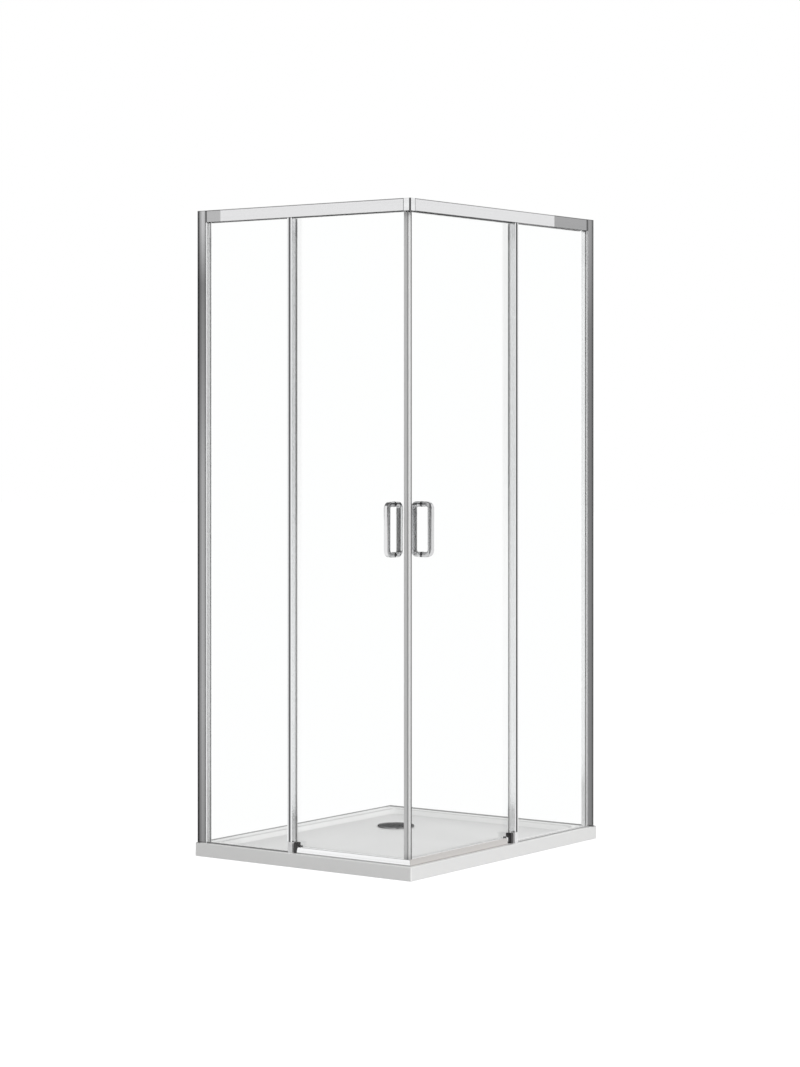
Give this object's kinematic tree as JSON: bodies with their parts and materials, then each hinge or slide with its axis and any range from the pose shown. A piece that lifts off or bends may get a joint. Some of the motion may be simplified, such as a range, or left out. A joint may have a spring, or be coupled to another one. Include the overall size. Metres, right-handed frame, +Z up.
{
  "type": "shower cabin",
  "caption": "Corner-entry shower cabin: slim rectangular tray, fixed glass panels at the walls, sliding glass doors that meet at the corner, chrome handles and hidden rollers.",
  "frame": {"origin": "middle of the tray's underside, on the floor", "axes": "+Z up; the room corner is at -X and +Y, the entry corner at +X and -Y; the left run lies along X on the -Y edge, the right run along Y on the +X edge"},
  "size_m": [0.8, 1, 1.94],
  "materials": {
    "tray": "smooth satin white, cast",
    "waste_metal": "polished chrome",
    "dark_rubber": "matt",
    "dark_plastic": "matt",
    "wall_profile_metal": "polished, bright anodised",
    "profile_metal": "polished, bright anodised",
    "rail_metal": "polished, bright anodised",
    "steel": "plain stainless",
    "grey_plastic": "satin",
    "roller_plastic": "satin",
    "clear_glass": "clear, polished",
    "clear_seal": "translucent soft plastic",
    "handle_chrome": "polished chrome"
  },
  "bodies": {
    "cabin_frame": {"shower_tray": "tray", "waste_flange": "waste_metal", "waste_seal": "dark_rubber", "left_wall_profile": "wall_profile_metal", "right_wall_profile": "wall_profile_metal", "left_adjusting_profile": "profile_metal", "right_adjusting_profile": "profile_metal", "left_side_screws": "steel", "right_side_screws": "steel", "left_side_screw_caps": "profile_metal", "right_side_screw_caps": "profile_metal", "left_top_rail": "rail_metal", "right_top_rail": "rail_metal", "left_rail_end_block": "grey_plastic", "right_rail_end_block": "grey_plastic", "left_door_stops": "dark_rubber", "right_door_stops": "dark_rubber", "left_fixed_glass": "clear_glass", "right_fixed_glass": "clear_glass", "left_glazing_gasket": "clear_seal", "right_glazing_gasket": "clear_seal", "left_edge_profile": "profile_metal", "right_edge_profile": "profile_metal", "left_edge_gasket": "dark_rubber", "right_edge_gasket": "dark_rubber", "left_profile_foot": "grey_plastic", "right_profile_foot": "grey_plastic", "left_fixed_bottom_seal": "dark_rubber", "right_fixed_bottom_seal": "dark_rubber", "left_threshold": "profile_metal", "right_threshold": "profile_metal", "left_door_guide": "dark_plastic", "right_door_guide": "dark_plastic", "corner_connector": "dark_plastic", "left_corner_cover": "rail_metal", "right_corner_cover": "rail_metal", "frame_screws": "steel"},
    "left_door": {"left_door_glass": "clear_glass", "left_door_rear_profile": "profile_metal", "left_magnetic_seal": "clear_seal", "left_magnet_strip": "dark_rubber", "left_door_bottom_seal": "clear_seal", "left_outer_handle": "handle_chrome", "left_inner_handle": "handle_chrome", "left_handle_fixings": "steel", "left_roller_pins": "steel"},
    "left_front_roller_body": {"left_front_roller": "roller_plastic"},
    "left_rear_roller_body": {"left_rear_roller": "roller_plastic"},
    "right_door": {"right_door_glass": "clear_glass", "right_door_rear_profile": "profile_metal", "right_magnetic_seal": "clear_seal", "right_magnet_strip": "dark_rubber", "right_door_bottom_seal": "clear_seal", "right_outer_handle": "handle_chrome", "right_inner_handle": "handle_chrome", "right_handle_fixings": "steel", "right_roller_pins": "steel"},
    "right_front_roller_body": {"right_front_roller": "roller_plastic"},
    "right_rear_roller_body": {"right_rear_roller": "roller_plastic"},
    "waste_cover_body": {"waste_cover": "waste_metal"}
  },
  "joints": [
    {"name": "left_door_slide", "type": "slide", "parent": "cabin_frame", "child": "left_door", "axis": [-1, 0, 0], "range_m": [0, 0.3]},
    {"name": "left_front_roller_spin", "type": "hinge", "parent": "left_door", "child": "left_front_roller_body", "pos_m": [0.296, -0.4535, 1.9199], "axis": [0, -1, 0], "range_deg": [-10, 1500]},
    {"name": "left_rear_roller_spin", "type": "hinge", "parent": "left_door", "child": "left_rear_roller_body", "pos_m": [0, -0.4535, 1.9199], "axis": [0, -1, 0], "range_deg": [-10, 1500]},
    {"name": "right_door_slide", "type": "slide", "parent": "cabin_frame", "child": "right_door", "axis": [0, 1, 0], "range_m": [0, 0.384]},
    {"name": "right_front_roller_spin", "type": "hinge", "parent": "right_door", "child": "right_front_roller_body", "pos_m": [0.3535, -0.396, 1.9199], "axis": [-1, 0, 0], "range_deg": [-10, 1910]},
    {"name": "right_rear_roller_spin", "type": "hinge", "parent": "right_door", "child": "right_rear_roller_body", "pos_m": [0.3535, 0.016, 1.9199], "axis": [-1, 0, 0], "range_deg": [-10, 1910]},
    {"name": "waste_cover_lift", "type": "slide", "parent": "cabin_frame", "child": "waste_cover_body", "axis": [0, 0, 1], "range_m": [0, 0.04]}
  ],
  "couplings": [
    {"joint": "left_front_roller_spin", "follows": "left_door_slide", "rad_per_m": 86.207},
    {"joint": "left_rear_roller_spin", "follows": "left_door_slide", "rad_per_m": 86.207},
    {"joint": "right_front_roller_spin", "follows": "right_door_slide", "rad_per_m": 86.207},
    {"joint": "right_rear_roller_spin", "follows": "right_door_slide", "rad_per_m": 86.207}
  ]
}
